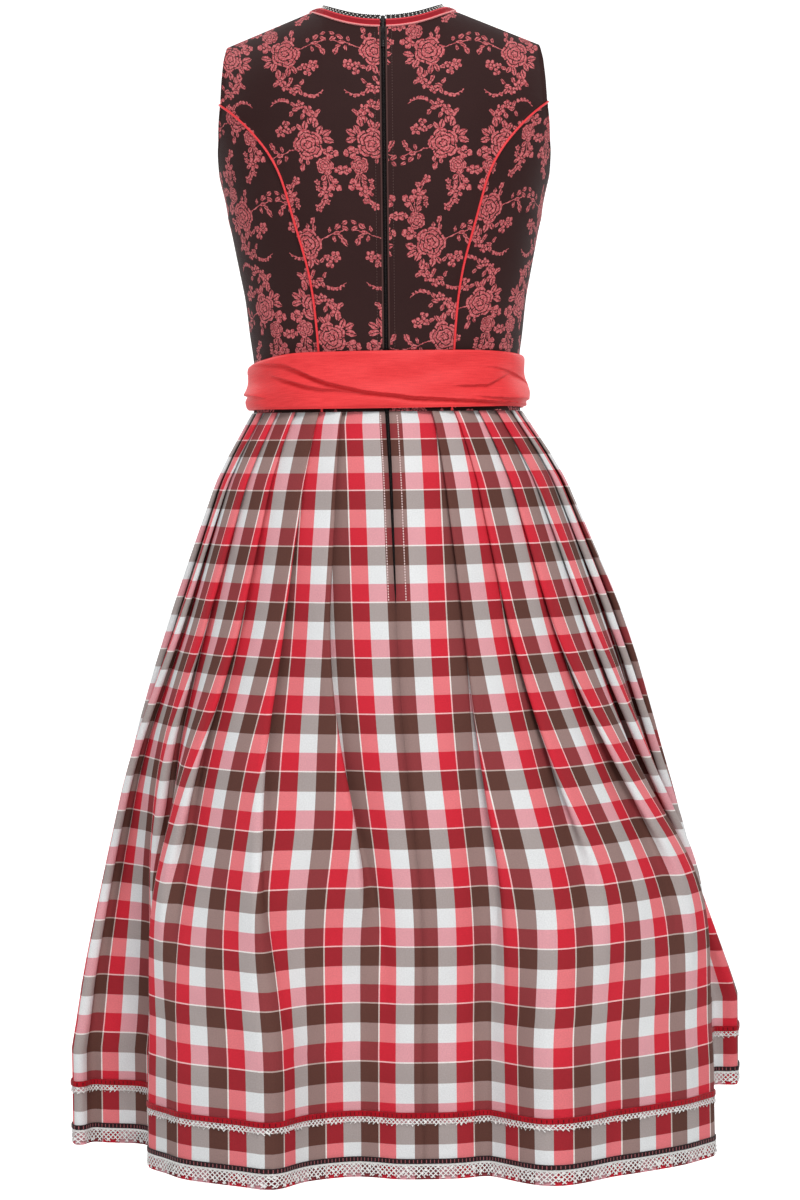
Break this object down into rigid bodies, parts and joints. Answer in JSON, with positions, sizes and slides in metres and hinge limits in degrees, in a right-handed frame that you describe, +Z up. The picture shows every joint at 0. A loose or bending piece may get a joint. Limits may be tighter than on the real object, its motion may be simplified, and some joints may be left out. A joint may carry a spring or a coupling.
{
  "type": "sleeveless dirndl dress",
  "caption": "Sleeveless midi dirndl dress with a piped jacquard bodice, red waist sash, back zip and a pleated check skirt with ribbon and lace rows at the hem.",
  "frame": {"origin": "inside the neck opening, on the centre plane, between the two shoulder seams and level with their highest point", "axes": "+Z up along the body towards the head, -Y towards the front of the dress, +X to the wearer's left"},
  "size_m": [0.6264, 0.577, 1.0268],
  "materials": {
    "jacquard": "dark brown jacquard with a satin-like rose pattern, slightly shiny",
    "piping": "smooth red corded bias piping",
    "neck_ribbon": "red woven ribbon with paler edge lines, matt",
    "neck_edging": "black crochet edging with white dots, matt",
    "zip_tape": "black woven zip tape",
    "zip_metal": "dark lacquered metal, half-gloss",
    "sash": "red cotton satin with soft folds",
    "check_cloth": "woven cotton check in white, red and brown, matt",
    "hem_ribbon_red": "red velvet-like ribbon",
    "hem_ribbon_brown": "dark brown woven ribbon",
    "lace": "white cotton lace with a scalloped edge"
  },
  "bodies": {
    "root": {"bodice_back_left": "jacquard", "bodice_back_right": "jacquard", "bodice_side_back_left": "jacquard", "bodice_side_back_right": "jacquard", "bodice_side_front_left": "jacquard", "bodice_side_front_right": "jacquard", "bodice_front": "jacquard", "piping_back_left": "piping", "piping_back_right": "piping", "piping_front_left": "piping", "piping_front_right": "piping", "neck_ribbon": "neck_ribbon", "neck_edging": "neck_edging", "zip_tape": "zip_tape", "zip_slider": "zip_metal", "sash": "sash", "skirt_back_left": "check_cloth", "skirt_back_right": "check_cloth", "skirt_front": "check_cloth", "hem_ribbon_red": "hem_ribbon_red", "hem_ribbon_brown": "hem_ribbon_brown", "hem_lace_upper": "lace", "hem_lace_lower": "lace"}
  },
  "joints": []
}
